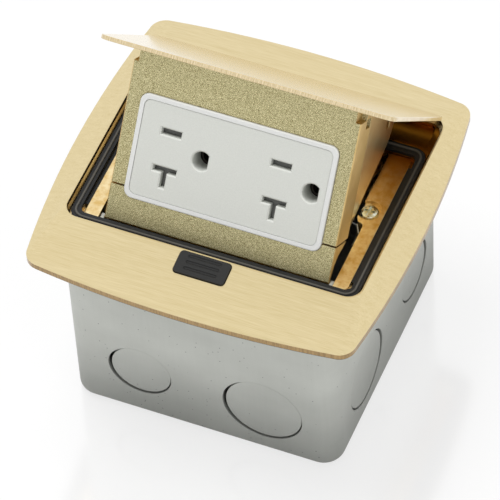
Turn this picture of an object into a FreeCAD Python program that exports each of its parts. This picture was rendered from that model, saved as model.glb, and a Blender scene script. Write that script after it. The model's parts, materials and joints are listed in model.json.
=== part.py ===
import FreeCAD, Part
import math
import os

V = FreeCAD.Vector
os.makedirs("parts", exist_ok=True)

# Drawn with z 0 on the cover plate's rim; the exported part stands on the floor box's bottom.
plateCentre = 0.25
boxDepth = 76.7
datum = V(0, -plateCentre, boxDepth)

# cover plate and its opening
plateHalfX = 62.3
plateHalfY = 60.6
bowX = 4.6
bowY = 4.0
plateCorner = 5.9
rimDrop = 2.3
rimBreak = 0.18
crown = 3.1
openX = 52.6
openFront = -35.7
openRear = 46.3
openCorner = 5.0
lipFlat = 0.5
throatX = 51.6
throatFront = -35.3
throatRear = 45.6
pocketTop = -0.6
pocketX = plateHalfX - 7.8
pocketY = plateHalfY - 7.6
pocketCorner = 6.0
sealThick = 0.8
sealInset = 0.45

# floor box
boxHalf = 48.9
boxTaper = 0.45
boxCentre = -0.26
boxCorner = 7.5
boxWall = 1.6
boxTop = -rimDrop - sealThick
knockInset = 0.3
knockSlit = 0.4
knockLift = 0.28
knockDrift = 0.12
halfInchR = 11.1
threeQuarterR = 14.0

# well frame
flangeX = pocketX - 0.5
flangeY = pocketY - 0.5
plateScrewInset = 4.0
bodyBottom = -7.6
ledgeTop = -0.2
ledgeFoot = -1.7
ledgeOuter = 46.9
wellWide = 41.9
wellNarrow = 38.75
wellFront = -31.3
wellStep = -3.9
noseY = -0.6
wellRear = 29.5
shelfTop = -2.3
shelfUnder = -4.1
screwX = 41.5
screwY = 3.3
screwHeadR = 3.1
boreR = 4.1
seatZ = -2.0

# lid gasket
sealOuterX = 51.3
sealInnerX = 48.3
sealFront = -35.0
sealBack = 33.0
sealWide = 3.25
sealTop = 0.9
ridgeTop = 1.3

# module: hinge line, lid, face
hingeY = 40.6
hingeZ = -12.6
pinR = 1.5
pinPlay = 0.05
openAngle = 47.6
faceLean = 34.83
faceY = -13.97
faceZ = 21.83
lidThick = 1.5
lidHalf = 52.0
lidFront = -35.2
lidRear = 32.3
faceHalf = 40.2
lidSeat = 0.02
faceDepth = 11.7
crackV = -14.7
crackGap = 0.6
chinBottom = -28.0
lipFront = 6.1
lipBack = 7.5
frontWall = 2.4
cheekOuter = 38.1
cheekWall = 1.8
armInner = 34.4
armOuter = 36.9
lidSlope = math.tan(math.radians(openAngle - faceLean))
openSin, openCos = math.sin(math.radians(openAngle)), math.cos(math.radians(openAngle))
# height on the face at which the shut lid's underside crosses the face plane
faceTop = (crown - lidThick - lidSeat - hingeZ - openSin * (faceY - hingeY) - openCos * (faceZ - hingeZ)) \
    / math.cos(math.radians(openAngle - faceLean))

# outlet
ringX = 35.1
ringV = 18.35
ringFit = 0.15
insertX = 33.4
insertV = 16.65
ringFront = -0.9
insertFront = -0.7
insertBack = 2.2
bladeU = (-22.5, 16.5)
groundU = (-10.6, 28.4)
hotV = 7.1
teeV = -5.9
earthV = 0.7

# latch
buttonX = 9.1
buttonFront = -45.1
buttonRear = -36.5
buttonFit = 0.2
pressTravel = 2.0
yokeTop = -5.2
yokeBottom = -6.4
coverTop = -6.6


def block(x0, x1, y0, y1, z0, z1):
    return Part.makeBox(x1 - x0, y1 - y0, z1 - z0, V(x0, y0, z0))


def rod(r, a, b):
    a, b = V(*a), V(*b)
    return Part.makeCylinder(r, (b - a).Length, a, b - a)


def profile(points, x0, x1):
    face = Part.Face(Part.makePolygon([V(x0, y, z) for y, z in points + points[:1]]))
    return face.extrude(V(x1 - x0, 0, 0))


def turned(points, at, axis=(0, 0, 1)):
    face = Part.Face(Part.makePolygon([V(r, 0, z) for r, z in points + points[:1]]))
    solid = face.revolve(V(0, 0, 0), V(0, 0, 1), 360)
    solid.Placement = FreeCAD.Placement(V(*at), FreeCAD.Rotation(V(0, 0, 1), V(*axis)))
    return solid


def uprights(shape):
    found = []
    for edge in shape.Edges:
        if isinstance(edge.Curve, Part.Line) and abs(edge.tangentAt(edge.FirstParameter).z) > 0.9:
            found.append(edge)
    return found


def edgesAt(shape, axis, value, tol=0.02):
    found = []
    for edge in shape.Edges:
        b = edge.BoundBox
        low, high = (b.XMin, b.XMax) if axis == 0 else (b.YMin, b.YMax) if axis == 1 else (b.ZMin, b.ZMax)
        if abs(low - value) < tol and abs(high - value) < tol:
            found.append(edge)
    return found


def soften(shape, size, edges):
    try:
        softer = shape.makeFillet(size, edges)
        if softer.isValid() and len(softer.Solids) == len(shape.Solids):
            return softer
    except Exception:
        pass
    try:
        softer = shape.makeChamfer(size * 0.7, edges)
        if softer.isValid() and len(softer.Solids) == len(shape.Solids):
            return softer
    except Exception:
        pass
    print("edge left sharp", len(edges), size)
    return shape


def slab(halfX, y0, y1, z0, z1, r):
    solid = block(-halfX, halfX, y0, y1, z0, z1)
    return solid.makeFillet(r, uprights(solid))


def pad(x0, x1, y0, y1, z0, z1, r):
    solid = block(x0, x1, y0, y1, z0, z1)
    return solid.makeFillet(r, uprights(solid))


def bowed(inset):
    halfX, halfY = plateHalfX - inset, plateHalfY - inset
    cx, cy = halfX - bowX, halfY - bowY
    c = plateCentre
    corners = [V(-cx, c - cy, 0), V(cx, c - cy, 0), V(cx, c + cy, 0), V(-cx, c + cy, 0)]
    crests = [V(0, c - halfY, 0), V(halfX, c, 0), V(0, c + halfY, 0), V(-halfX, c, 0)]
    arcs = [Part.Arc(corners[i], crests[i], corners[(i + 1) % 4]).toShape() for i in range(4)]
    solid = Part.Face(Part.Wire(arcs)).extrude(V(0, 0, 1))
    return solid.makeFillet(plateCorner - inset, uprights(solid))


def loop(solid, z):
    face = min(solid.Faces, key=lambda f: f.CenterOfMass.z)
    edges = face.OuterWire.OrderedEdges
    first = min(range(len(edges)), key=lambda i: edges[i].CenterOfMass.y)
    wire = Part.Wire(edges[first:] + edges[:first])
    wire.translate(V(0, 0, z - face.CenterOfMass.z))
    return wire


def mirrored(shape):
    return [shape, shape.mirror(V(0, 0, 0), V(1, 0, 0))]


def both(shape):
    return Part.makeCompound(mirrored(shape))


def panHead(r, height, shank, length, at, axis=(0, 0, 1)):
    body = turned([(0, -length), (shank * 0.75, -length), (shank, -length + shank * 0.4), (shank, 0), (r, 0),
                   (r, height * 0.45), (r * 0.86, height * 0.8), (r * 0.55, height), (0, height)], at, axis)
    cross = block(-r * 0.62, r * 0.62, -r * 0.13, r * 0.13, height * 0.35, height + 1)
    slot = cross.fuse(block(-r * 0.13, r * 0.13, -r * 0.62, r * 0.62, height * 0.35, height + 1))
    slot.Placement = FreeCAD.Placement(V(*at), FreeCAD.Rotation(V(0, 0, 1), V(*axis)))
    return body.cut(slot)


def coil(r, wire, pitch, turns, at, axis, legs=()):
    helix = Part.makeHelix(pitch, pitch * turns, r)
    rim = [V(r + wire * math.cos(a), 0, wire * math.sin(a)) for a in [i * math.pi / 3 for i in range(6)]]
    ring = Part.makePolygon(rim + rim[:1])
    spring = Part.Wire(helix.Edges).makePipeShell([ring], True, True)
    spring.Placement = FreeCAD.Placement(V(*at), FreeCAD.Rotation(V(0, 0, 1), V(*axis)))
    return spring


def opened(shape):
    shape = shape.copy()
    shape.rotate(V(0, hingeY, hingeZ), V(1, 0, 0), -openAngle)
    return shape


def faced(shape):
    shape = shape.copy()
    shape.rotate(V(0, 0, 0), V(1, 0, 0), -faceLean)
    shape.translate(V(0, faceY, faceZ))
    return shape


def save(name, shape):
    shape = shape.copy()
    shape.translate(datum)
    shape.exportStep("parts/%s.step" % name)
    box = shape.BoundBox
    print("%-24s solids %d valid %s  x %.1f %.1f  y %.1f %.1f  z %.1f %.1f" % (
        name, len(shape.Solids), shape.isValid(), box.XMin, box.XMax, box.YMin, box.YMax, box.ZMin, box.ZMax))


# ---------------------------------------------------------------- cover plate
mouth = slab(openX + lipFlat, openFront - lipFlat, openRear + lipFlat, 0, 1, openCorner + lipFlat)
plate = Part.makeLoft([loop(bowed(0), -rimDrop), loop(bowed(0), -rimBreak)], True, True)
plate = plate.fuse(Part.makeLoft([loop(bowed(0), -rimBreak), loop(bowed(rimBreak), 0)], True, True))
plate = plate.fuse(Part.makeLoft([loop(bowed(rimBreak), 0), loop(mouth, crown)], True, True))
throat = slab(throatX, throatFront, throatRear, 0, 1, openCorner - 0.6)
wide = slab(openX, openFront, openRear, 0, 1, openCorner)
plate = plate.cut(Part.makeLoft([loop(throat, 0.2), loop(wide, 1.3)], True, True))
plate = plate.cut(slab(throatX, throatFront, throatRear, -1, 0.2, openCorner - 0.6))
plate = plate.cut(slab(openX, openFront, openRear, 1.3, 5, openCorner))
plate = plate.cut(slab(pocketX, plateCentre - pocketY, plateCentre + pocketY, -rimDrop - 1, pocketTop, pocketCorner))
plate = plate.cut(pad(-buttonX - buttonFit, buttonX + buttonFit, buttonFront - buttonFit,
                      buttonRear + buttonFit, -2, 6, 1.6))
plateScrews = [(sx * (flangeX - plateScrewInset), plateCentre + sy * (flangeY - plateScrewInset))
               for sx in (-1, 1) for sy in (-1, 1)]
for x, y in plateScrews:
    plate = plate.cut(rod(1.25, (x, y, -1), (x, y, 0.4)))
plate = plate.removeSplitter()
save("cover_plate", plate)

seal = bowed(sealInset)
seal = Part.makeLoft([loop(seal, boxTop), loop(seal, -rimDrop)], True, True)
seal = seal.cut(slab(pocketX + 0.2, plateCentre - pocketY - 0.2, plateCentre + pocketY + 0.2,
                     boxTop - 1, 0, pocketCorner))
save("plate_gasket", seal)

# ------------------------------------------------------------------ floor box
def boxSkin(inset, z0, z1):
    top, bottom = boxHalf - inset, boxHalf - boxTaper - inset
    r = boxCorner - inset
    low = slab(bottom, boxCentre - bottom, boxCentre + bottom, 0, 1, r)
    high = slab(top, boxCentre - top, boxCentre + top, 0, 1, r)
    return Part.makeLoft([loop(low, z0), loop(high, z1)], True, True)


shell = boxSkin(0, -boxDepth, boxTop)
shell = soften(shell, 3.0, edgesAt(shell, 2, -boxDepth))
hollow = boxSkin(boxWall, -boxDepth + boxWall, boxTop + 1)
hollow = soften(hollow, 1.6, edgesAt(hollow, 2, -boxDepth + boxWall))
shell = shell.cut(hollow)
groundAt = (0, 34, -boxDepth + boxWall)
shell = shell.cut(rod(2.1, (0, 34, -boxDepth + 0.1), (0, 34, 0)))

knocks = {"half": [], "three": []}
sides = [(0, -1), (1, 0), (0, 1), (-1, 0)]
layout = [("half", -22.4, -53.6), ("three", 22.2, -54.8)]
for nx, ny in sides:
    for size, along, z in layout:
        across = along if (nx, ny) in ((0, -1), (0, 1)) else (24.0 if size == "half" else -20.3)
        r = halfInchR if size == "half" else threeQuarterR
        cx, cy = (across, boxCentre + ny * boxHalf) if ny else (nx * boxHalf, across)
        a = (cx - 6 * nx, cy - 6 * ny, z)
        b = (cx + 6 * nx, cy + 6 * ny, z)
        disc = shell.common(rod(r, a, b))
        # sheared free all round but for the tie at the top, so it sits high in its hole
        drift = (-ny * knockDrift, -nx * knockDrift)
        disc.translate(V(-nx * knockInset + drift[0], -ny * knockInset + drift[1], knockLift))
        knocks[size].append(disc)
        shell = shell.cut(rod(r + knockSlit, a, b))
save("floor_box", shell)
save("knockouts_half_inch", Part.makeCompound(knocks["half"]))
save("knockouts_three_quarter", Part.makeCompound(knocks["three"]))

innerWall = boxHalf - boxWall - 0.2
ear = block(40.8, innerWall, -34, -24, bodyBottom - boxWall, bodyBottom)
ear = ear.fuse(block(44.0, innerWall, -34, 10, bodyBottom - boxWall, bodyBottom))
ear = ear.fuse(pad(wellNarrow, innerWall, -3, 9, bodyBottom - boxWall, bodyBottom, 1.0))
ear = ear.fuse(block(innerWall - boxWall, innerWall, -34, 10, bodyBottom - 12, bodyBottom))
# two bent-up tabs that stop the casting from shifting
ear = ear.fuse(block(40.3, 41.6, -30.9, -28.0, bodyBottom - 0.1, -1.1))
tab = [V(39.3, -2.9, 0), V(39.7, -2.75, 0), V(41.7, -6.4, 0), V(41.3, -6.6, 0)]
tab = Part.Face(Part.makePolygon(tab + tab[:1])).extrude(V(0, 0, -1.0 - bodyBottom + 0.1))
tab.translate(V(0, 0, bodyBottom - 0.1))
ear = ear.fuse(tab).fuse(block(39.0, 45, -7.0, 0, bodyBottom - boxWall, bodyBottom))
ear = ear.cut(rod(2.1, (screwX, screwY, -20), (screwX, screwY, 0)))
ear = ear.removeSplitter()
save("box_ears", both(ear))

save("ground_screw", panHead(3.9, 2.4, 2.0, 1.4, groundAt))

# ----------------------------------------------------------------- well frame
frame = slab(flangeX, plateCentre - flangeY, plateCentre + flangeY, boxTop, pocketTop, pocketCorner - 0.5)
frame = frame.fuse(slab(46.5, -46.4, 45.9, bodyBottom, boxTop, 6))
frame = frame.cut(slab(sealInnerX - 0.05, -31.45, sealBack - sealWide - 0.05, ledgeFoot, 2, 2.4))
ledge = pad(wellNarrow - 2, ledgeOuter, -31.2, 28.6, bodyBottom + 1, ledgeTop, 2.2)
frame = frame.fuse(both(ledge))
well = pad(-wellWide, wellWide, wellFront, wellStep - 0.5, -20, 2, 1.0)
well = well.fuse(pad(-wellNarrow, wellNarrow, wellFront + 5, wellRear, -20, 2, 2.5))
for sx in (-1, 1):
    nose = [(wellNarrow, noseY), (39.4, -2.0), (39.9, -2.5), (40.6, -2.65), (41.5, -3.0), (wellWide, wellStep),
            (wellWide, wellStep - 1), (wellNarrow - 2, wellStep - 1), (wellNarrow - 2, noseY)]
    corner = [V(sx * x, y, -20) for x, y in nose]
    well = well.fuse(Part.Face(Part.makePolygon(corner + corner[:1])).extrude(V(0, 0, 22)))
frame = frame.cut(well)
ribBack = sealBack + 1.3
shelf = pad(-49.3, 49.3, ribBack, throatRear - 0.2, shelfTop, 2, 2)
frame = frame.cut(shelf)
frame = frame.cut(block(-40.0, 40.0, wellRear - 3, 50, -12, shelfUnder))
band = slab(52.6, -35, ribBack, pocketTop - 1, 1.2, 5.9)
band = band.cut(slab(sealOuterX + 0.2, -34, sealBack + 0.2, -3, 2, 4.8))
frame = frame.fuse(band.common(block(-51.4, 51.4, 28.5, 40, pocketTop - 1, 1)))
for sx in (-1, 1):
    lug = profile([(35.2, boxTop - 0.2), (45.6, boxTop - 0.2), (45.6, -11.5), (44.0, -16.2), (37.2, -16.2),
                   (35.6, -11.5)], sx * 40.6, sx * 43.6)
    frame = frame.fuse(lug)
    frame = frame.cut(rod(boreR, (sx * screwX, screwY, seatZ), (sx * screwX, screwY, 3)))
    frame = frame.cut(rod(2.1, (sx * screwX, screwY, -20), (sx * screwX, screwY, 3)))
    frame = frame.cut(block(*sorted((sx * 38.3, sx * 40.4)), -36, -31, yokeBottom - 0.2, yokeTop + 0.2))
frame = frame.cut(rod(pinR + 0.02, (-50, hingeY, hingeZ), (50, hingeY, hingeZ)))
frame = frame.cut(block(-43, 43, -45.6, -35.2, coverTop, -1.6))
frame = frame.cut(pad(-11.2, 11.2, -45.6, -36.0, -3, 0, 1.6))
tabs = [(sx * 15 - 3, sx * 15 + 3) for sx in (-1, 1)]
frame = frame.cut(block(-44, 44, -45.8, -34.7, bodyBottom - 1, coverTop))
for a, b in tabs:
    frame = frame.cut(block(a - 0.15, b + 0.15, -35, -31.7, bodyBottom - 1, coverTop))
    frame = frame.cut(rod(0.8, ((a + b) / 2, -33.4, -8), ((a + b) / 2, -33.4, -3.4)))
for x, y in plateScrews:
    frame = frame.cut(rod(1.5, (x, y, -4), (x, y, 0)))
    frame = frame.cut(rod(2.7, (x, y, -4), (x, y, -2.0)))
frame = frame.removeSplitter()
save("well_frame", frame)

save("frame_screws", Part.makeCompound([panHead(screwHeadR, 1.5, 2.0, 11.5, (sx * screwX, screwY, seatZ))
                                        for sx in (-1, 1)]))
save("plate_screws", Part.makeCompound([panHead(2.4, 1.0, 1.2, 2.2, (x, y, -2.0), (0, 0, -1))
                                        for x, y in plateScrews]))

lidSeal = slab(sealOuterX, sealFront, sealBack, pocketTop, sealTop, 4.6)
ridgeBack = sealBack - 1.2
for half, top in ((0.45, ridgeTop - 0.15), (0.25, ridgeTop)):
    ridge = slab(49.85 + half, -33.35 - half, ridgeBack + half, 0, top, 3.4 + half)
    ridge = ridge.cut(slab(49.85 - half, -33.35 + half, ridgeBack - half, -1, 3, 3.4 - half))
    lidSeal = lidSeal.fuse(ridge)
lidSeal = lidSeal.cut(slab(sealInnerX, -31.5, sealBack - sealWide, -2, 3, 2.4))
for sx in (-1, 1):
    flap = block(*sorted((sx * (ledgeOuter + 0.05), sx * (sealInnerX - 0.1))), -26.9, 24.9, pocketTop - 0.4, pocketTop + 0.3)
    web = block(*sorted((sx * (sealInnerX - 0.2), sx * (sealInnerX + 0.4))), -26.9, 24.9, pocketTop, pocketTop + 0.3)
    lidSeal = lidSeal.fuse(flap).fuse(web)
lidSeal = lidSeal.removeSplitter()
save("lid_gasket", lidSeal)

# ---------------------------------------------------------------------- latch
def stripZ(y):
    return crown + (y - (openFront - lipFlat)) * crown / (plateHalfY - 0.4 - plateCentre + openFront - lipFlat)


head = profile([(buttonFront, -1.9), (buttonRear, -1.9), (buttonRear, stripZ(buttonRear) + 0.75),
                (buttonFront, stripZ(buttonFront) + 0.75)], -buttonX, buttonX)
head = head.makeFillet(1.3, uprights(head))
head = soften(head, 0.4, [e for e in head.Edges if e.BoundBox.ZMin > 1.5])
for y in (-38.2, -40.5, -42.9):
    z = stripZ(y) + 0.75
    groove = rod(0.55, (-5.4, y, z + 0.1), (5.4, y, z + 0.1))
    for x in (-5.4, 5.4):
        groove = groove.fuse(Part.makeSphere(0.55, V(x, y, z + 0.1)))
    head = head.cut(groove)
head = head.fuse(pad(-10.7, 10.7, buttonFront, buttonRear, -1.9, -0.9, 1.2))
head = head.fuse(profile([(-37.6, -1.5), (-37.6, -6.2), (-38.4, -6.2), (-42.6, -2.0), (-42.6, -1.5)], -4, 4))
save("latch_button", head.removeSplitter())

yoke = block(-41.5, 41.5, -40.5, -37.0, yokeBottom, yokeTop)
yoke = yoke.fuse(block(-12, 12, -43, -38, yokeBottom, yokeTop))
for sx in (-1, 1):
    yoke = yoke.fuse(block(*sorted((sx * 38.6, sx * 40.1)), -38, -31.5, yokeBottom, yokeTop))
yoke = yoke.cut(profile([(-36, -4), (-36, -7), (-37.85, -7), (-40.85, -4)], -4.3, 4.3))
save("latch_yoke", yoke.removeSplitter())

lidCover = block(-43.8, 43.8, -45.6, -34.9, bodyBottom, coverTop)
for a, b in tabs:
    lidCover = lidCover.fuse(block(a, b, -35, -31.8, bodyBottom, coverTop))
    lidCover = lidCover.cut(rod(1.1, ((a + b) / 2, -33.4, -9), ((a + b) / 2, -33.4, -5)))
lidCover = lidCover.cut(block(-5, 5, -43.2, -36.6, -9, -5))
save("latch_cover", lidCover.removeSplitter())
save("latch_cover_screws", Part.makeCompound([panHead(1.55, 1.0, 0.8, 3.6, ((a + b) / 2, -33.4, bodyBottom),
                                                      (0, 0, -1)) for a, b in tabs]))
save("latch_springs", Part.makeCompound([coil(1.2, 0.25, 1.1, 4, (sx * 25, -45.3, -5.0), (0, 1, 0))
                                         for sx in (-1, 1)]))

# ---------------------------------------------------------------------- hinge
pin = rod(pinR, (-44.8, hingeY, hingeZ), (44.8, hingeY, hingeZ))
for sx in (-1, 1):
    pin = pin.cut(rod(5, (sx * 43.75, hingeY, hingeZ), (sx * 44.35, hingeY, hingeZ)).cut(
        rod(1.1, (sx * 43, hingeY, hingeZ), (sx * 45, hingeY, hingeZ))))
save("hinge_pin", pin)
clip = rod(2.9, (43.8, hingeY, hingeZ), (44.3, hingeY, hingeZ))
clip = clip.cut(rod(1.15, (43, hingeY, hingeZ), (45, hingeY, hingeZ)))
clip = clip.cut(block(43, 45, hingeY - 0.9, hingeY + 0.9, hingeZ - 4, hingeZ))
save("hinge_clips", both(clip))
spring = coil(2.6, 0.5, 1.25, 5, (25.5, hingeY, hingeZ), (1, 0, 0))
save("torsion_springs", both(spring))

# ------------------------------------------------------------------------ lid
lid = slab(lidHalf, lidFront, lidRear, crown - lidThick, crown, 5)
lid = soften(lid, 0.35, edgesAt(lid, 2, crown) + edgesAt(lid, 2, crown - lidThick))
lidScrewAt = [(sx * 29.0, d) for sx in (-1, 1) for d in (9.0, 31.0)]


def lidLine(d):
    return faceTop - lidSlope * d


lidNormal = (0, lidSlope, 1)
for u, d in lidScrewAt:
    a = faced(Part.Vertex(u, d, lidLine(d))).Point
    n = faced(Part.Vertex(u, d + lidSlope, lidLine(d) + 1)).Point - a
    n.normalize()
    hole = Part.makeCylinder(1.2, 1.7, a - n * 0.5, n)
    hole.rotate(V(0, hingeY, hingeZ), V(1, 0, 0), openAngle)
    lid = lid.cut(hole)
save("lid_plate", opened(lid))

# -------------------------------------------- module, drawn upright: y is depth
faceShell = profile([(0, crackV), (faceDepth, crackV + 0.1), (faceDepth, lidLine(faceDepth)), (0, faceTop)],
                    -faceHalf, faceHalf)
faceShell = soften(faceShell, 0.7, [e for e in faceShell.Edges
                                    if e.BoundBox.YMax < 0.01 and e.BoundBox.ZLength > 20])
faceShell = faceShell.cut(profile([(frontWall, crackV - 1), (20, crackV - 1), (20, faceTop + 5),
                                   (frontWall, faceTop + 5)], -cheekOuter - 0.05, cheekOuter + 0.05))
window = pad(-ringX - ringFit, ringX + ringFit, -ringV - ringFit, ringV + ringFit, -5, 5, 3.2)
window.rotate(V(0, 0, 0), V(1, 0, 0), 90)
faceShell = faceShell.cut(window)
for sx in (-1, 1):
    faceShell = faceShell.cut(block(*sorted((sx * 38.35, sx * 42)), -1, 6.0, 27.8, 36))
    faceShell = faceShell.cut(block(*sorted((sx * 38.0, sx * 42)), 6.7, 10.7, 24.5, 28.0))
    post = rod(3.0, (sx * 28, frontWall - 0.2, 22.5), (sx * 28, 3.8, 22.5))
    faceShell = faceShell.fuse(post).cut(rod(1.2, (sx * 28, 0.9, 22.5), (sx * 28, 6, 22.5)))
faceShell = faceShell.removeSplitter()
save("face_frame", faced(faceShell))

chinSide = [(0, crackV - crackGap), (10.6, crackV - crackGap - 0.1), (8.4, -16.9), (4.6, -19.0), (2.3, -21.8),
            (1.3, -25.6), (0.9, chinBottom), (0.4, chinBottom), (0, chinBottom + 0.6)]
chin = profile(chinSide, -faceHalf, faceHalf)
chin = soften(chin, 0.5, [e for e in chin.Edges if e.BoundBox.YMax < 0.01 and e.BoundBox.ZLength > 8])
chin = chin.cut(block(-38.4, 38.4, 1.6, 20, -40, 0))
chin = chin.cut(window)
for sx in (-1, 1):
    chin = chin.fuse(block(*sorted((sx * 28, sx * 33)), 0.9, 6.0, -23.2, -19.0))
    chin = chin.cut(rod(1.0, (sx * 30.5, 2.2, -21.1), (sx * 30.5, 8, -21.1)))
save("chin_plate", faced(chin.removeSplitter()))
save("chin_screws", Part.makeCompound([faced(panHead(2.1, 1.3, 1.0, 5.0, (sx * 30.5, lipBack, -21.1), (0, 1, 0)))
                                       for sx in (-1, 1)]))

rearCurve = [(11.5, -14.8), (16.8, -14.2), (21.4, -12.0), (24.9, -8.7), (28.0, -5.3), (34.9, 1.0), (39.0, 4.6),
             (42.6, 7.9), (45.2, 10.9), (46.9, 14.5), (47.7, 17.5)]


def inward(points, d):
    moved = []
    for i, (y, z) in enumerate(points):
        a, b = points[max(i - 1, 0)], points[min(i + 1, len(points) - 1)]
        ty, tz = b[0] - a[0], b[1] - a[1]
        n = math.hypot(ty, tz)
        moved.append((y - d * tz / n, z + d * ty / n))
    return moved


def curveEdge(points, x):
    c = Part.BSplineCurve()
    c.interpolate([V(x, y, z) for y, z in points])
    return c.toShape()


def line(a, b, x):
    return Part.LineSegment(V(x, *a), V(x, *b)).toShape()


def cheek(x0, x1):
    top = (rearCurve[-1][0], lidLine(rearCurve[-1][0]))
    front = (frontWall + 0.1, lidLine(frontWall + 0.1))
    low = (frontWall + 0.1, -14.6)
    wire = Part.Wire([line(low, rearCurve[0], x0), curveEdge(rearCurve, x0), line(rearCurve[-1], top, x0),
                      line(top, front, x0), line(front, low, x0)])
    return Part.Face(wire).extrude(V(x1 - x0, 0, 0))


def toFace(y, z):
    p = Part.Vertex(0, y - faceY, z - faceZ)
    p.rotate(V(0, 0, 0), V(1, 0, 0), faceLean)
    return p.Point.y, p.Point.z


housing = cheek(cheekOuter - cheekWall, cheekOuter).fuse(cheek(-cheekOuter, -cheekOuter + cheekWall))
housing = housing.fuse(profile([(frontWall + 0.1, lidLine(frontWall + 0.1) - 1.8),
                                (46.5, lidLine(46.5) - 1.8), (46.5, lidLine(46.5)),
                                (frontWall + 0.1, lidLine(frontWall + 0.1))], -37.5, 37.5))
armPath = [(-1, 5.0), (12.5, 8.0), (14.5, 3.0), (18.5, -2.5), (24.0, -5.2), (34.0, -6.2), (40.6, -8.1),
           (44.0, -9.6), (45.1, -12.6), (44.0, -15.6), (40.6, -17.1), (37.0, -15.4), (30.0, -13.0),
           (20.0, -12.2), (12.0, -9.0), (6.0, -2.0)]
eye = toFace(hingeY, hingeZ)
for sx in (-1, 1):
    arm = profile([toFace(y, z) for y, z in armPath], sx * armInner, sx * armOuter)
    housing = housing.fuse(arm)
    housing = housing.fuse(block(*sorted((sx * 33.6, sx * 37)), lipFront, lipBack, -16.0, -10))
housing = housing.fuse(block(-36.5, 36.5, lipFront, lipBack, -23.4, -14.9))
housing = housing.cut(rod(pinR + pinPlay, (-50, *eye), (50, *eye)))
for sx in (-1, 1):
    housing = housing.cut(rod(1.15, (sx * 30.5, 2, -21.1), (sx * 30.5, 9, -21.1)))
    slit = block(*sorted((sx * 36, sx * 39)), 39.2, 42.4, 16.4, 19.6)
    housing = housing.cut(slit)
for u, d in lidScrewAt:
    housing = housing.cut(rod(1.35, (u, d - lidSlope * 4, lidLine(d) - 4), (u, d + lidSlope * 3, lidLine(d) + 3)))
housing = housing.removeSplitter()
save("module_housing", faced(housing))

lidScrews = []
for u, d in lidScrewAt:
    n = V(0, -lidSlope, -1)
    n.normalize()
    seat = V(u, d, lidLine(d)) + n * 1.8
    lidScrews.append(faced(panHead(2.3, 1.3, 1.2, 2.7, tuple(seat), tuple(n))))
save("lid_screws", Part.makeCompound(lidScrews))

outer = inward(rearCurve, 0.05)
inner = inward(outer, 1.4)
x = cheekWall - cheekOuter + 0.05
wire = Part.Wire([curveEdge(outer, x), line(outer[-1], inner[-1], x), curveEdge(inner, x),
                  line(inner[0], outer[0], x)])
rear = Part.Face(wire).extrude(V(-2 * x, 0, 0))
# slots the hinge arms pass through
for sx in (-1, 1):
    rear = rear.cut(block(*sorted((sx * (armInner - 0.4), sx * 39)), 5, 55, -20, 25))
for x in (-24, -12, 0, 12, 24):
    for d in (33.0, 35.8, 38.6):
        rear = rear.cut(block(x - 4, x + 4, d, d + 1.3, -5, 12))
save("rear_cover", faced(rear))

# --------------------------------------------------------------------- outlet
def upright(halfU, halfV, d0, d1, r):
    solid = pad(-halfU, halfU, -halfV, halfV, 0, d1 - d0, r)
    solid.rotate(V(0, 0, 0), V(1, 0, 0), 90)
    solid.translate(V(0, d1, 0))
    return solid


bezel = upright(ringX, ringV, ringFront, 3.7, 3.1)
bezel = soften(bezel, 0.5, edgesAt(bezel, 1, ringFront))
bezel = bezel.fuse(block(-36.2, 36.2, 2.6, 3.7, -14.4, 19.6))
bezel = bezel.cut(upright(insertX + 0.05, insertV + 0.05, -5, 9, 2.4))
save("outlet_bezel", faced(bezel.removeSplitter()))

insert = upright(insertX, insertV, insertFront, insertBack, 2.35)
insert = soften(insert, 0.25, edgesAt(insert, 1, insertFront))
for u in groundU:
    tube = rod(4.1, (u, insertBack - 0.2, earthV), (u, 8.0, earthV))
    insert = insert.fuse(tube.common(block(-31.3, 31.3, 0, 10, -10, 10)))
insert = insert.removeSplitter()
for u in bladeU:
    insert = insert.cut(block(u - 3.6, u + 3.6, -3, 5, hotV - 1.15, hotV + 1.15))
    tee = block(u - 4.2, u + 4.2, -3, 5, teeV - 1.0, teeV + 1.0)
    tee = tee.fuse(block(u - 0.95, u + 0.95, -3, 5, -12.1, teeV)).removeSplitter()
    insert = insert.cut(tee)
for u in groundU:
    dee = rod(3.25, (u, -3, earthV), (u, 9, earthV))
    insert = insert.cut(dee.cut(block(u + 2.35, u + 5, -4, 10, earthV - 5, earthV + 5)))
slots = [e for e in edgesAt(insert, 1, insertFront) if abs(e.CenterOfMass.x) < 32.5 and abs(e.CenterOfMass.z) < 15]
chamfered = insert.makeChamfer(0.45, slots)
save("outlet_face", faced(chamfered if chamfered.isValid() else insert))

bodySide = [(insertBack, -16.3), (4.7, -16.3), (4.7, -14.0), (7.4, -13.4), (12.6, -9.4), (22.6, -2.2), (26.0, 1.6), (26.0, 15.3),
            (insertBack, 15.3)]
bodySolid = profile(bodySide, -33.0, 33.0)
cavity = profile([(insertBack - 1, -15.75), (3.8, -15.75), (3.8, -12.6), (6.9, -12.0), (11.9, -8.0), (21.7, -0.9), (24.6, 2.4), (24.6, 13.9),
                  (insertBack - 1, 13.9)], -31.5, 31.5)
bodySolid = bodySolid.cut(cavity)
bodySolid = bodySolid.fuse(block(-1.2, 1.2, 4.4, 25, -11, 15)).common(profile(bodySide, -33.0, 33.0))
terminals = [("terminal_screws_brass", [(-22, 14.0, 15.3, (0, 0, 1)), (-6, 14.0, 15.3, (0, 0, 1))]),
             ("terminal_screws_silver", [(6, 14.0, 15.3, (0, 0, 1)), (22, 14.0, 15.3, (0, 0, 1))]),
             ("terminal_screw_green", [(-33.0, 14.0, 5.0, (-1, 0, 0))])]
for name, places in terminals:
    made = []
    for x, y, z, axis in places:
        n = V(*axis)
        root = V(x, y, z) - n * 1.0
        made.append(faced(panHead(2.7, 1.5, 1.6, 1.9, tuple(V(x, y, z) + n * 0.6), axis)))
        bodySolid = bodySolid.cut(Part.makeCylinder(1.62, 4, V(x, y, z) - n * 3, n))
    save(name, Part.makeCompound(made))
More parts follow.
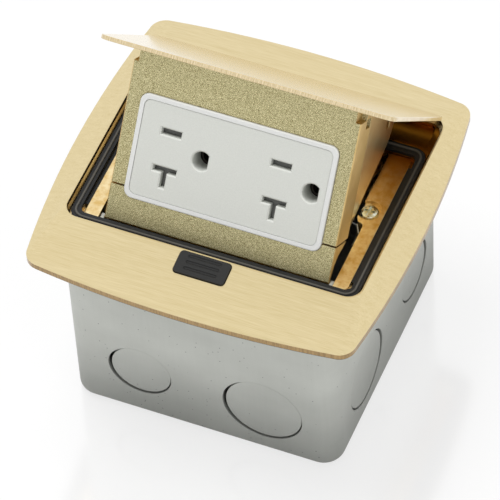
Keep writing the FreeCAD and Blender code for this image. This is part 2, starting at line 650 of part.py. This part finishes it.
save("outlet_body", faced(bodySolid.removeSplitter()))

strap = block(-36.2, 36.2, 3.8, 4.8, -13.6, 26.0)
strap = strap.cut(block(-33.2, 33.2, 3, 6, -15, 15.6))
for sx in (-1, 1):
    strap = strap.cut(rod(1.5, (sx * 28, 0, 22.5), (sx * 28, 9, 22.5)))
save("outlet_strap", faced(strap))
save("strap_screws", Part.makeCompound([faced(panHead(2.6, 1.5, 1.2, 3.6, (sx * 28, 4.8, 22.5), (0, 1, 0)))
                                        for sx in (-1, 1)]))


def clipPair(u, v, along, depth0, depth1, gap):
    made = []
    for s in (-1, 1):
        leaf = block(u - along, u + along, depth0, depth1, v + s * gap, v + s * gap + 0.8)
        made.append(leaf)
    base = block(u - along, u + along, depth1 - 0.1, depth1 + 0.8, v - gap, v + gap + 0.8)
    return made[0].fuse([made[1], base]).removeSplitter()


hot = []
neutral = []
earth = []
for i in (0, 1):
    u = bladeU[i]
    live = clipPair(u, hotV - 0.4, 3.2, 6.2, 16.0, 1.3)
    hot.append(faced(live.fuse(block(u - 1.5, u + 1.5, 15.9, 16.8, hotV, 13.8)).removeSplitter()))
    back = clipPair(u, teeV + 0.4, 3.2, 6.2, 11.0, 1.3)
    neutral.append(faced(back.fuse(block(u - 1.5, u + 1.5, 6.2, 7.0, -11.8, teeV)).removeSplitter()))
    sleeve = rod(3.0, (groundU[i], 8.2, earthV), (groundU[i], 18, earthV)).cut(
        rod(2.4, (groundU[i], 5, earthV), (groundU[i], 17.2, earthV)))
    sleeve = sleeve.fuse(rod(1.5, (groundU[i], 17.5, earthV), (groundU[i], 21.3, earthV))).removeSplitter()
    earth.append(faced(sleeve))
save("hot_contacts", Part.makeCompound(hot))
save("neutral_contacts", Part.makeCompound(neutral))
save("ground_contacts", Part.makeCompound(earth))

shutterTravel = 3.2
for name, u in (("left_shutter", bladeU[0]), ("right_shutter", bladeU[1])):
    shutter = block(u - 4.9, u + 4.9, 2.5, 3.6, -12.35, 12.2)
    for v in (hotV, teeV):
        w = 3.9 if v == hotV else 4.4
        shutter = shutter.cut(block(u - w, u + w, 2, 4, v - 1.3 + shutterTravel, v + 1.3 + shutterTravel))
    save(name, faced(shutter))
save("shutter_springs", Part.makeCompound([faced(coil(0.42, 0.1, 0.8, 4, (u, 3.05, -15.65), (0, 0, 1)))
                                           for u in bladeU]))
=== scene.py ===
import json
import bmesh
import bpy
from mathutils import Matrix, Vector


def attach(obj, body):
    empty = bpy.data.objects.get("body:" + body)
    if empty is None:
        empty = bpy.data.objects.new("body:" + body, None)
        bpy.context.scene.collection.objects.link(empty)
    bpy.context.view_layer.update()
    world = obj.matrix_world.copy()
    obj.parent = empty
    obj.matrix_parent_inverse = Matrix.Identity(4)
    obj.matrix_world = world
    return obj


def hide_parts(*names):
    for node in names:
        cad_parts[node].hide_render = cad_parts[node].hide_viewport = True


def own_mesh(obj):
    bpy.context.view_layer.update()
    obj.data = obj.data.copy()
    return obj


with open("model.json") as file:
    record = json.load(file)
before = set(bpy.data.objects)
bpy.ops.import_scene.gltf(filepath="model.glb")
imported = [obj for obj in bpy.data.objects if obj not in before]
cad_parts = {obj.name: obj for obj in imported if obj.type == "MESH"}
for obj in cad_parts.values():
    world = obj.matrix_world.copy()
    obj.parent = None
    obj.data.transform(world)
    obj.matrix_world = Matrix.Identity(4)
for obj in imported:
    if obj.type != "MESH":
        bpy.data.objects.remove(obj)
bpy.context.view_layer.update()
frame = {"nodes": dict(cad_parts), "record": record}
nodes = frame["nodes"]
scene = bpy.context.scene
print("floor box loaded")


def colour(hexCode):  # sRGB hex to the linear values that shaders take, by the sRGB standard's curve
    parts = [int(hexCode[i:i + 2], 16) / 255 for i in (1, 3, 5)]
    return [p / 12.92 if p <= 0.04045 else ((p + 0.055) / 1.055) ** 2.4 for p in parts] + [1.0]


# Adds a node. An input is named, or numbered as i0, i1, and takes a value, a socket or a node's first output.
# "stops" holds the places and colours of a colour ramp.
def add(tree, kind, settings=None, **inputs):
    node = tree.nodes.new("ShaderNode" + kind)
    for name, value in (settings or {}).items():
        if name != "stops":
            setattr(node, name, value)
            continue
        for extra in value[2:]:
            node.color_ramp.elements.new(0.5)
        for element, (place, code) in zip(node.color_ramp.elements, value):
            element.position, element.color = place, colour(code)
    for name, value in inputs.items():
        socket = node.inputs[int(name[1:]) if name[1:].isdigit() else name.replace("_", " ")]
        if isinstance(value, bpy.types.Node):
            value = next(output for output in value.outputs if output.enabled)
        if isinstance(value, bpy.types.NodeSocket):
            tree.links.new(value, socket)
        else:
            socket.default_value = value
    return node


def blank(name, **values):
    material = bpy.data.materials.new(name)
    material.use_nodes = True
    shader = material.node_tree.nodes["Principled BSDF"]
    for key, value in values.items():
        shader.inputs[key.replace("_", " ")].default_value = value
    return material, material.node_tree, shader


def sized(tree, size):  # where a pattern is read, so that its grain is size millimetres along x, y and z
    spot = add(tree, "TexCoord").outputs["Object"]
    return add(tree, "VectorMath", {"operation": "MULTIPLY"}, i0=spot, i1=[1000 / side for side in size])


def placeInMm(tree, axis):
    return add(tree, "SeparateXYZ", Vector=sized(tree, (1, 1, 1))).outputs[axis]


def facing(tree, direction, start, end):  # 1 on the surfaces that look along a direction, 0 on the rest
    outward = add(tree, "TexCoord").outputs["Normal"]
    dot = add(tree, "VectorMath", {"operation": "DOT_PRODUCT"}, i0=outward, i1=direction).outputs["Value"]
    return add(tree, "MapRange", {"clamp": True}, Value=dot, From_Min=start, From_Max=end)


def toneAndSkin(tree, shader, tone, height, look):  # the colour, then softened edges and a fine relief
    tree.links.new(tone, shader.inputs["Base Color"])
    softEdge = add(tree, "Bevel", {"samples": 6}, Radius=look["round"])
    skinAndRearShade = add(tree, "Bump", Strength=look["depth"], Distance=look["relief"], Height=height, Normal=softEdge)
    tree.links.new(skinAndRearShade.outputs[0], shader.inputs["Normal"])


# Brushed brass under clear lacquer: a fine grain along the plate, a soft stretched shine, and a browner cut
# rim that is a painted dark reflection.
def brushedBrass(name, look):
    material, tree, shader = blank(name, Metallic=1.0, Roughness=look["rough"],
                                   Coat_Weight=look["lacquer"], Coat_Roughness=look["lacquerRough"])
    fine = add(tree, "TexNoise", Vector=sized(tree, look["line"]), Scale=1.0, Detail=2.0)
    broad = add(tree, "TexNoise", Vector=sized(tree, look["band"]), Scale=1.0, Detail=2.0)
    grain = add(tree, "Mix", {"data_type": "FLOAT"}, Factor=look["bandShare"], A=fine, B=broad)
    flat = add(tree, "ValToRGB", {"stops": [(0.32, look["dark"]), (0.68, look["light"])]}, Fac=grain)
    ticks = add(tree, "TexNoise", Vector=sized(tree, look["tick"]), Scale=1.0, Detail=1.0)
    # painted dark reflection on the cut rim, with the shear's tick marks in it
    edge = add(tree, "ValToRGB", {"stops": [(0.35, look["edgeDark"]), (0.65, look["edge"])]}, Fac=ticks)
    top = facing(tree, look["up"], 0.5, 0.75)
    tone = add(tree, "Mix", {"data_type": "RGBA"}, i0=top, i6=edge, i7=flat)
    toneAndSkin(tree, shader, tone.outputs[2], grain, look)
    return material


# Die-cast brass, its front plated with a texture: a granular sparkle in front and plain satin gold behind.
def texturedBrass(name, look):
    material, tree, shader = blank(name, Metallic=1.0, Roughness=look["rough"])
    grit = add(tree, "TexNoise", Vector=sized(tree, look["grit"]), Scale=1.0, Detail=1.0, Roughness=0.6)
    drift = add(tree, "TexNoise", Vector=sized(tree, look["drift"]), Scale=1.0, Detail=2.0)
    depths = [(0.43, look["pit"]), (0.5, look["mid"]), (0.57, look["peak"])]
    face = add(tree, "ValToRGB", {"stops": depths}, Fac=grit)
    side = add(tree, "ValToRGB", {"stops": [(0.3, look["sideDark"]), (0.7, look["side"])]}, Fac=drift)
    front = facing(tree, look["out"], 0.8, 0.95)
    tone = add(tree, "Mix", {"data_type": "RGBA"}, i0=front, i6=side, i7=face)
    relief = add(tree, "Math", {"operation": "MULTIPLY"}, i0=grit, i1=front)
    toneAndSkin(tree, shader, tone.outputs[2], relief, look)
    return material


# Brass left as cast, under lacquer: a mottled warm metal, softly mirroring, with painted shade making it
# darker and browner to the rear.
def castBrass(name, look):
    material, tree, shader = blank(name, Metallic=1.0, Roughness=look["rough"])
    mottle = add(tree, "TexNoise", Vector=sized(tree, look["mottle"]), Scale=1.0, Detail=4.0, Roughness=0.6)
    clean = add(tree, "ValToRGB", {"stops": [(0.35, look["dark"]), (0.65, look["light"])]}, Fac=mottle)
    # painted shade: the colour turns darker and browner towards the rear
    rearShadeMask = add(tree, "MapRange", {"clamp": True}, Value=placeInMm(tree, "Y"),
                   From_Min=look["rearShadeFrom"], From_Max=look["rearShadeTo"])
    tone = add(tree, "Mix", {"data_type": "RGBA"}, i0=rearShadeMask, i6=clean, i7=colour(look["skinAndRearShade"]))
    toneAndSkin(tree, shader, tone.outputs[2], mottle, look)
    return material


# Hot-dip galvanised steel, deep drawn: satin grey zinc with pinpricks and rub streaks from the press, and
# painted shade darkening it towards the bottom.
def galvanised(name, look):
    material, tree, shader = blank(name, Metallic=look["metal"], Roughness=look["rough"])
    cloud = add(tree, "TexNoise", Vector=sized(tree, look["cloud"]), Scale=1.0, Detail=3.0)
    streak = add(tree, "TexNoise", Vector=sized(tree, look["streak"]), Scale=1.0, Detail=2.0)
    body = add(tree, "Mix", {"data_type": "FLOAT"}, Factor=look["streakShare"], A=cloud, B=streak)
    zinc = add(tree, "ValToRGB", {"stops": [(0.3, look["dark"]), (0.7, look["light"])]}, Fac=body)
    cells = add(tree, "TexVoronoi", Vector=sized(tree, look["cell"]), Scale=1.0)
    beyond = add(tree, "MapRange", {"clamp": True}, Value=cells.outputs["Distance"],
                 From_Min=look["prickCore"], From_Max=look["prickRim"])
    unpricked = add(tree, "Math", {"operation": "LESS_THAN"}, i0=cells.outputs["Color"], i1=look["unpricked"])
    clear = add(tree, "Math", {"operation": "MAXIMUM"}, i0=beyond, i1=unpricked)
    spotted = add(tree, "Mix", {"data_type": "RGBA"}, i0=clear, i6=colour(look["prick"]), i7=zinc)
    # painted shade: the zinc is scaled darker towards the bottom of the box
    paintedLight = add(tree, "MapRange", {"interpolation_type": "SMOOTHSTEP"}, Value=placeInMm(tree, "Z"),
                 From_Min=0.0, From_Max=look["paintedShadeTo"], To_Min=look["paintedLight"], To_Max=1.0)  # darker below
    tone = add(tree, "VectorMath", {"operation": "SCALE"}, i0=spotted.outputs[2], Scale=paintedLight)
    toneAndSkin(tree, shader, tone.outputs[0], body, look)
    return material


# Moulded rubber: satin black, with a painted grey highlight along the top of the sealing ridge, where the lid
# lands on it.
def gasketRubber(name, look):
    material, tree, shader = blank(name, Roughness=look["rough"])
    grain = add(tree, "TexNoise", Vector=sized(tree, look["grain"]), Scale=1.0, Detail=3.0)
    # painted highlight on the ridge top, picked out by height
    ridge = add(tree, "MapRange", {"clamp": True}, Value=placeInMm(tree, "Z"),
                From_Min=look["ridgeFrom"], From_Max=look["ridgeTo"])
    body = add(tree, "ValToRGB", {"stops": [(0.3, look["dark"]), (0.7, look["light"])]}, Fac=grain)
    tone = add(tree, "Mix", {"data_type": "RGBA"}, i0=ridge, i6=body, i7=colour(look["paintedLight"]))
    toneAndSkin(tree, shader, tone.outputs[2], grain, look)
    return material


# Small moulded, stamped, drawn and plated parts: one tone, faintly uneven, with edges a little soft.
def plain(name, look):
    look = {"metal": 0.0, "grain": 0.4, "depth": 0.2, "relief": 0.00002, "round": 0.00015, **look}
    material, tree, shader = blank(name, Metallic=look["metal"], Roughness=look["rough"])
    speck = add(tree, "TexNoise", Vector=sized(tree, (look["grain"],) * 3), Scale=1.0, Detail=2.0)
    tone = add(tree, "ValToRGB", {"stops": [(0.3, look["dark"]), (0.7, look["light"])]}, Fac=speck)
    toneAndSkin(tree, shader, tone.outputs[0], speck, look)
    return material


# Sizes of grain are in millimetres along x, y and z, and relief and round are in metres.
plateLook = {
    # The cut rim's colours are a painted dark reflection, browner than the top.
    "light": "#EAD9AC", "dark": "#DAC794", "edge": "#A98A58", "edgeDark": "#8F7448",
    "up": (0, 0, 1),
    "line": (6.6667, 0.2, 0.2),  # brush lines, drawn wider than the real ones so that they show
    "band": (50.0, 1.25, 1.25), "bandShare": 0.35,
    "tick": (0.5, 5.0, 5.0),  # the shear's marks across the cut edge
    "rough": 0.34, "lacquer": 0.6, "lacquerRough": 0.15, "depth": 0.25, "relief": 0.00002, "round": 0.0001,
}
lidLook = {
    # The lid's rim colours are a painted reflection, paler than the plate's.
    "light": "#EBD9AC", "dark": "#DDC897", "edge": "#EAD9B4", "edgeDark": "#D3BD92",
    "up": (0, 0.7385, 0.6743),  # the raised lid's top
    "line": (6.6667, 0.2, 0.2),  # as on the plate
    "band": (50.0, 1.25, 1.25), "bandShare": 0.35,
    "tick": (0.45455, 5.0, 5.0),
    "rough": 0.2, "lacquer": 0.5, "lacquerRough": 0.08, "depth": 0.2, "relief": 0.00002, "round": 0.0001,
}
faceLook = {
    "peak": "#F0E8BC", "mid": "#B9AF7C", "pit": "#6A5F36", "side": "#DCC086", "sideDark": "#CBAD70",
    "out": (0, -0.8208, 0.5711),
    "grit": (0.13333, 0.13333, 0.13333),  # coarser than the real tenth of a millimetre, so that it shows
    "drift": (8.3333, 8.3333, 8.3333),
    "rough": 0.42, "depth": 0.9, "relief": 0.00012, "round": 0.00015,
}
frameLook = {
    # The frame's rear colour is painted shade for its deep rear recess.
    "light": "#FFEBBB", "dark": "#E6C27C", "skinAndRearShade": "#96641A", "rearShadeFrom": 0.0, "rearShadeTo": 27.0,
    "mottle": (3.3333, 3.3333, 3.3333), "rough": 0.3, "depth": 0.2, "relief": 0.00008, "round": 0.0002,
}
housingLook = {
    # The housing's rear colour is painted shade, a little darker to the rear of the cheek.
    "light": "#FFF0C6", "dark": "#F5DEAC", "skinAndRearShade": "#F0CF92", "rearShadeFrom": -10.0, "rearShadeTo": 40.0,
    "mottle": (6.6667, 6.6667, 6.6667), "rough": 0.36, "depth": 0.2, "relief": 0.00008, "round": 0.0002,
}
boxLook = {
    "light": "#C9CBC5", "dark": "#BBBDB7", "prick": "#55565A", "metal": 0.6, "rough": 0.5,
    "cloud": (33.333, 33.333, 20.0), "streak": (1.1111, 1.1111, 20.0), "streakShare": 0.12,
    "cell": (2.2222, 2.2222, 2.2222),  # a cell holds one pinprick or none
    "prickCore": 0.05, "prickRim": 0.11,  # shares of a cell
    "unpricked": 0.72,  # a higher share leaves fewer pinpricks
    # The lower wall's darkening is painted shade.
    "paintedLight": 0.6, "paintedShadeTo": 45.0, "depth": 0.15, "relief": 0.0001, "round": 0.0005,
}
gasketLook = {
    # The ridge's grey is a painted highlight.
    "light": "#131517", "dark": "#0D0E0F", "paintedLight": "#55534E", "ridgeFrom": 77.75, "ridgeTo": 77.95,
    "grain": (0.83333, 0.83333, 0.83333), "rough": 0.45, "depth": 0.3, "relief": 0.00003, "round": 0.0001,
}
plainLooks = {
    "black_plastic": {  # satin black, a little lighter than the rubber round it
        "made": "Moulded black ABS", "light": "#1C1C1B", "dark": "#141413", "rough": 0.42},
    "zinc_screws": {  # bright silver with a hint of yellow, and sharp reflections in the cross slots
        "made": "Yellow-clear zinc plate", "light": "#F2F4EA", "dark": "#CED2BE", "rough": 0.17, "metal": 1.0,
        "grain": 0.83333},
    "spring_steel": {  # mid grey metal with a narrow shine along it
        "made": "Drawn spring steel", "light": "#9A9A98", "dark": "#7F7F7E", "rough": 0.3, "metal": 1.0},
    "green_screws": {  # green that still shines as metal, the mark of an earth screw
        "made": "Green dyed zinc plate", "light": "#3B8A48", "dark": "#2A6A35", "rough": 0.3, "metal": 0.7},
    "white_plastic": {  # clean white ring, a shade whiter than the face in it
        "made": "Moulded cool white nylon", "light": "#E9EAE8", "dark": "#E3E4E2", "rough": 0.32},
    "light_grey_plastic": {  # soft light grey without a glare, so that the slots read dark
        "made": "Moulded light grey nylon", "light": "#DDDFD9", "dark": "#D7D9D3", "rough": 0.36},
    "dark_grey_plastic": {  # dull near-black with no colour of its own
        "made": "Moulded dark phenolic", "light": "#343432", "dark": "#282827", "rough": 0.5},
    "grey_plastic": {  # plain mid grey, seen through the blade slots
        "made": "Moulded grey acetal", "light": "#777775", "dark": "#6C6C6A", "rough": 0.42},
    "contact_brass": {  # brown gold strip, dull in the dark of the slots
        "made": "Stamped brass strip, tarnished", "light": "#7A5B2C", "dark": "#5F4520", "rough": 0.35,
        "metal": 1.0},
    "silver_screws": {  # neutral silver, a little darker than the zinc
        "made": "Nickel plate", "light": "#D2D2CE", "dark": "#BFBFBA", "rough": 0.22, "metal": 1.0},
}
# painted shade: the earth contacts are made near-black for the dark deep in the round holes
earthHoleShadeLook = {"light": "#33281A", "dark": "#241C12", "rough": 0.4}  # near-black brown in the round holes
finishes = {
    "brushed_brass": brushedBrass("Brushed brass, lacquered", plateLook),
    "cast_brass": castBrass("Cast brass, lacquered", frameLook),
    "textured_brass": texturedBrass("Textured brass plate on die casting", faceLook),
    "galvanised_steel": galvanised("Galvanised steel, drawn", boxLook),
    "black_rubber": gasketRubber("Moulded EPDM rubber", gasketLook),
}
for slot, look in plainLooks.items():
    finishes[slot] = plain(look["made"], look)
ownFinish = {
    "lid_plate": brushedBrass("Brushed brass lid, lacquered", lidLook),
    "module_housing": castBrass("Cast brass housing", housingLook),
    # the earth contacts' near-black is painted shade
    "ground_contacts": plain("Bronze strip, painted near-black as shade", earthHoleShadeLook),
}
for part in frame["record"]["subparts"]:
    shown = nodes[part["node"]]
    shown.data.materials.clear()
    shown.data.materials.append(ownFinish.get(part["node"], finishes[part["material_slot"]]))
print("finishes set")


def joinedPoints(form):  # the points of each separate solid in a mesh, in the mesh's own order
    solids, taken = [], set()
    for start in form.verts:
        if start in taken:
            continue
        taken.add(start)
        solid = [start]
        for point in solid:  # grows as it is read, until no edge leads on
            beside = [edge.other_vert(point) for edge in point.link_edges]
            fresh = [other for other in beside if other not in taken]
            taken.update(fresh)
            solid.extend(fresh)
        solids.append(solid)
    return solids


# A knockout is sheared free and hangs by its tie: it sits high and to one side in its hole, leaning a little.
# Lift and drift are in metres, lean is in radians and shrink is a share of the disc's size.
def looseDiscs(node, name, look):
    form = bmesh.new()
    form.from_mesh(nodes[node].data)
    for disc in joinedPoints(form):
        centre = sum((point.co for point in disc), Vector()) / len(disc)
        out = Vector((centre.x, 0, 0)) if abs(centre.x) >= abs(centre.y) else Vector((0, centre.y, 0))
        out.normalize()
        across = Vector((-out.y, -out.x, 0))
        lean = Matrix.Rotation(look["lean"], 3, out.cross(Vector((0, 0, 1))))
        for point in disc:
            arm = point.co - centre
            through = out * arm.dot(out)
            point.co = centre + lean @ ((arm - through) * look["shrink"] + through)
            point.co += Vector((0, 0, look["lift"])) + across * look["drift"]
    mesh = bpy.data.meshes.new(name)
    form.to_mesh(mesh)
    form.free()
    piece = bpy.data.objects.new(name, mesh)
    scene.collection.objects.link(piece)
    mesh.materials.append(finishes["galvanised_steel"])
    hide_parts(node)
    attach(piece, "floor_box")


halfInchLook = {"shrink": 0.97, "lift": 0.00025, "drift": 0.00035, "lean": 0.02}
threeQuarterLook = {"shrink": 0.976, "lift": 0.00025, "drift": 0.00035, "lean": 0.016}
looseDiscs("knockouts_half_inch", "loose_discs_half_inch", halfInchLook)
looseDiscs("knockouts_three_quarter", "loose_discs_three_quarter", threeQuarterLook)
print("knockouts hung")

# In the real part the latch springs shorten as the button draws the yoke onto them; here they are copied as
# they rest, with a mesh of their own.
restingCoils = nodes["latch_springs"]
coils = bpy.data.objects.new("latch_coils", restingCoils.data.copy())
coils.matrix_world = restingCoils.matrix_world
scene.collection.objects.link(coils)
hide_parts("latch_springs")
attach(coils, "floor_box")
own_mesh(coils)
print("latch coils set")

# Polished white acrylic sheet: white all over, with a faint mirror image of the box and its soft shadow.
floorLook = {"size": 8.0, "below": 0.0001, "shade": "#FFFFFF", "rough": 0.9, "mirror": 0.37, "blur": 0.13,
             "glow": 0.72}
bpy.ops.mesh.primitive_plane_add(size=floorLook["size"], location=(0, 0, -floorLook["below"]))
floor = bpy.context.object
floor.name = "studio_floor"
floorShade = colour(floorLook["shade"])
material, tree, shader = blank("White acrylic studio floor", Base_Color=floorShade,
                               Roughness=floorLook["rough"], Specular_IOR_Level=0.0)
mirror = add(tree, "BsdfGlossy", Color=floorShade, Roughness=floorLook["blur"])
sheet = add(tree, "MixShader", i0=floorLook["mirror"], i1=shader, i2=mirror)
seen = add(tree, "LightPath").outputs["Is Camera Ray"]
share = add(tree, "Math", {"operation": "MULTIPLY"}, i0=seen, i1=floorLook["glow"])
glow = add(tree, "Emission", Color=floorShade, Strength=1.0)
lit = add(tree, "MixShader", i0=share, i1=sheet, i2=glow)
tree.links.new(lit.outputs[0], tree.nodes["Material Output"].inputs["Surface"])
floor.data.materials.append(material)

# A white tent all round: full white where it is seen or mirrored, dimmer as a light.
tentLook = {"shade": "#FFFFFF", "seen": 1.0, "light": 0.5}
world = bpy.data.worlds.new("White studio tent")
scene.world = world
world.use_nodes = True
tree = world.node_tree
path = add(tree, "LightPath").outputs
straight = add(tree, "Math", {"operation": "MAXIMUM"}, i0=path["Is Camera Ray"], i1=path["Is Glossy Ray"])
straight = add(tree, "Math", {"operation": "MAXIMUM"}, i0=straight, i1=path["Is Transmission Ray"])
level = add(tree, "MapRange", Value=straight, To_Min=tentLook["light"], To_Max=tentLook["seen"])
tree.links.new(level.outputs[0], tree.nodes["Background"].inputs["Strength"])
tree.nodes["Background"].inputs["Color"].default_value = colour(tentLook["shade"])


def softbox(name, look):
    data = bpy.data.lights.new(name, "AREA")
    data.shape = "RECTANGLE"
    data.size, data.size_y = look["size"]
    data.energy = look["watts"]
    lamp = bpy.data.objects.new(name, data)
    scene.collection.objects.link(lamp)
    lamp.location = look["place"]
    lamp.visible_glossy = False  # the metal mirrors the white tent, not the lamps
    lamp.rotation_euler = (Vector(look["aim"]) - Vector(look["place"])).to_track_quat("-Z", "Y").to_euler()


softbox("key", {"place": (-0.4, 0.1, 1.3), "aim": (0, 0, 0.06), "size": (0.7, 0.7), "watts": 11.0})
softbox("side", {"place": (1.0, -0.35, 0.4), "aim": (0, 0, 0.06), "size": (0.9, 0.7), "watts": 2.5})

# A long lens from the right and above, with the directions of its picture's sides and of its view.
cameraLook = {"place": (0.4472, -0.95305, 1.3477), "lens": 356.6, "sensor": 36.0,
              "right": (0.924, 0.3804, -0.0399), "down": (0.2736, -0.7301, -0.6261),
              "ahead": (-0.2673, 0.5676, -0.7787)}
cameraData = bpy.data.cameras.new("view")
cameraData.lens = cameraLook["lens"]
cameraData.sensor_width = cameraLook["sensor"]
camera = bpy.data.objects.new("view", cameraData)
scene.collection.objects.link(camera)
columns = [Vector(cameraLook["right"]), -Vector(cameraLook["down"]), -Vector(cameraLook["ahead"])]
turn = Matrix(columns).transposed().to_4x4()
camera.matrix_world = Matrix.Translation(cameraLook["place"]) @ turn
scene.camera = camera
scene.view_settings.view_transform = "Standard"
print("stage set")
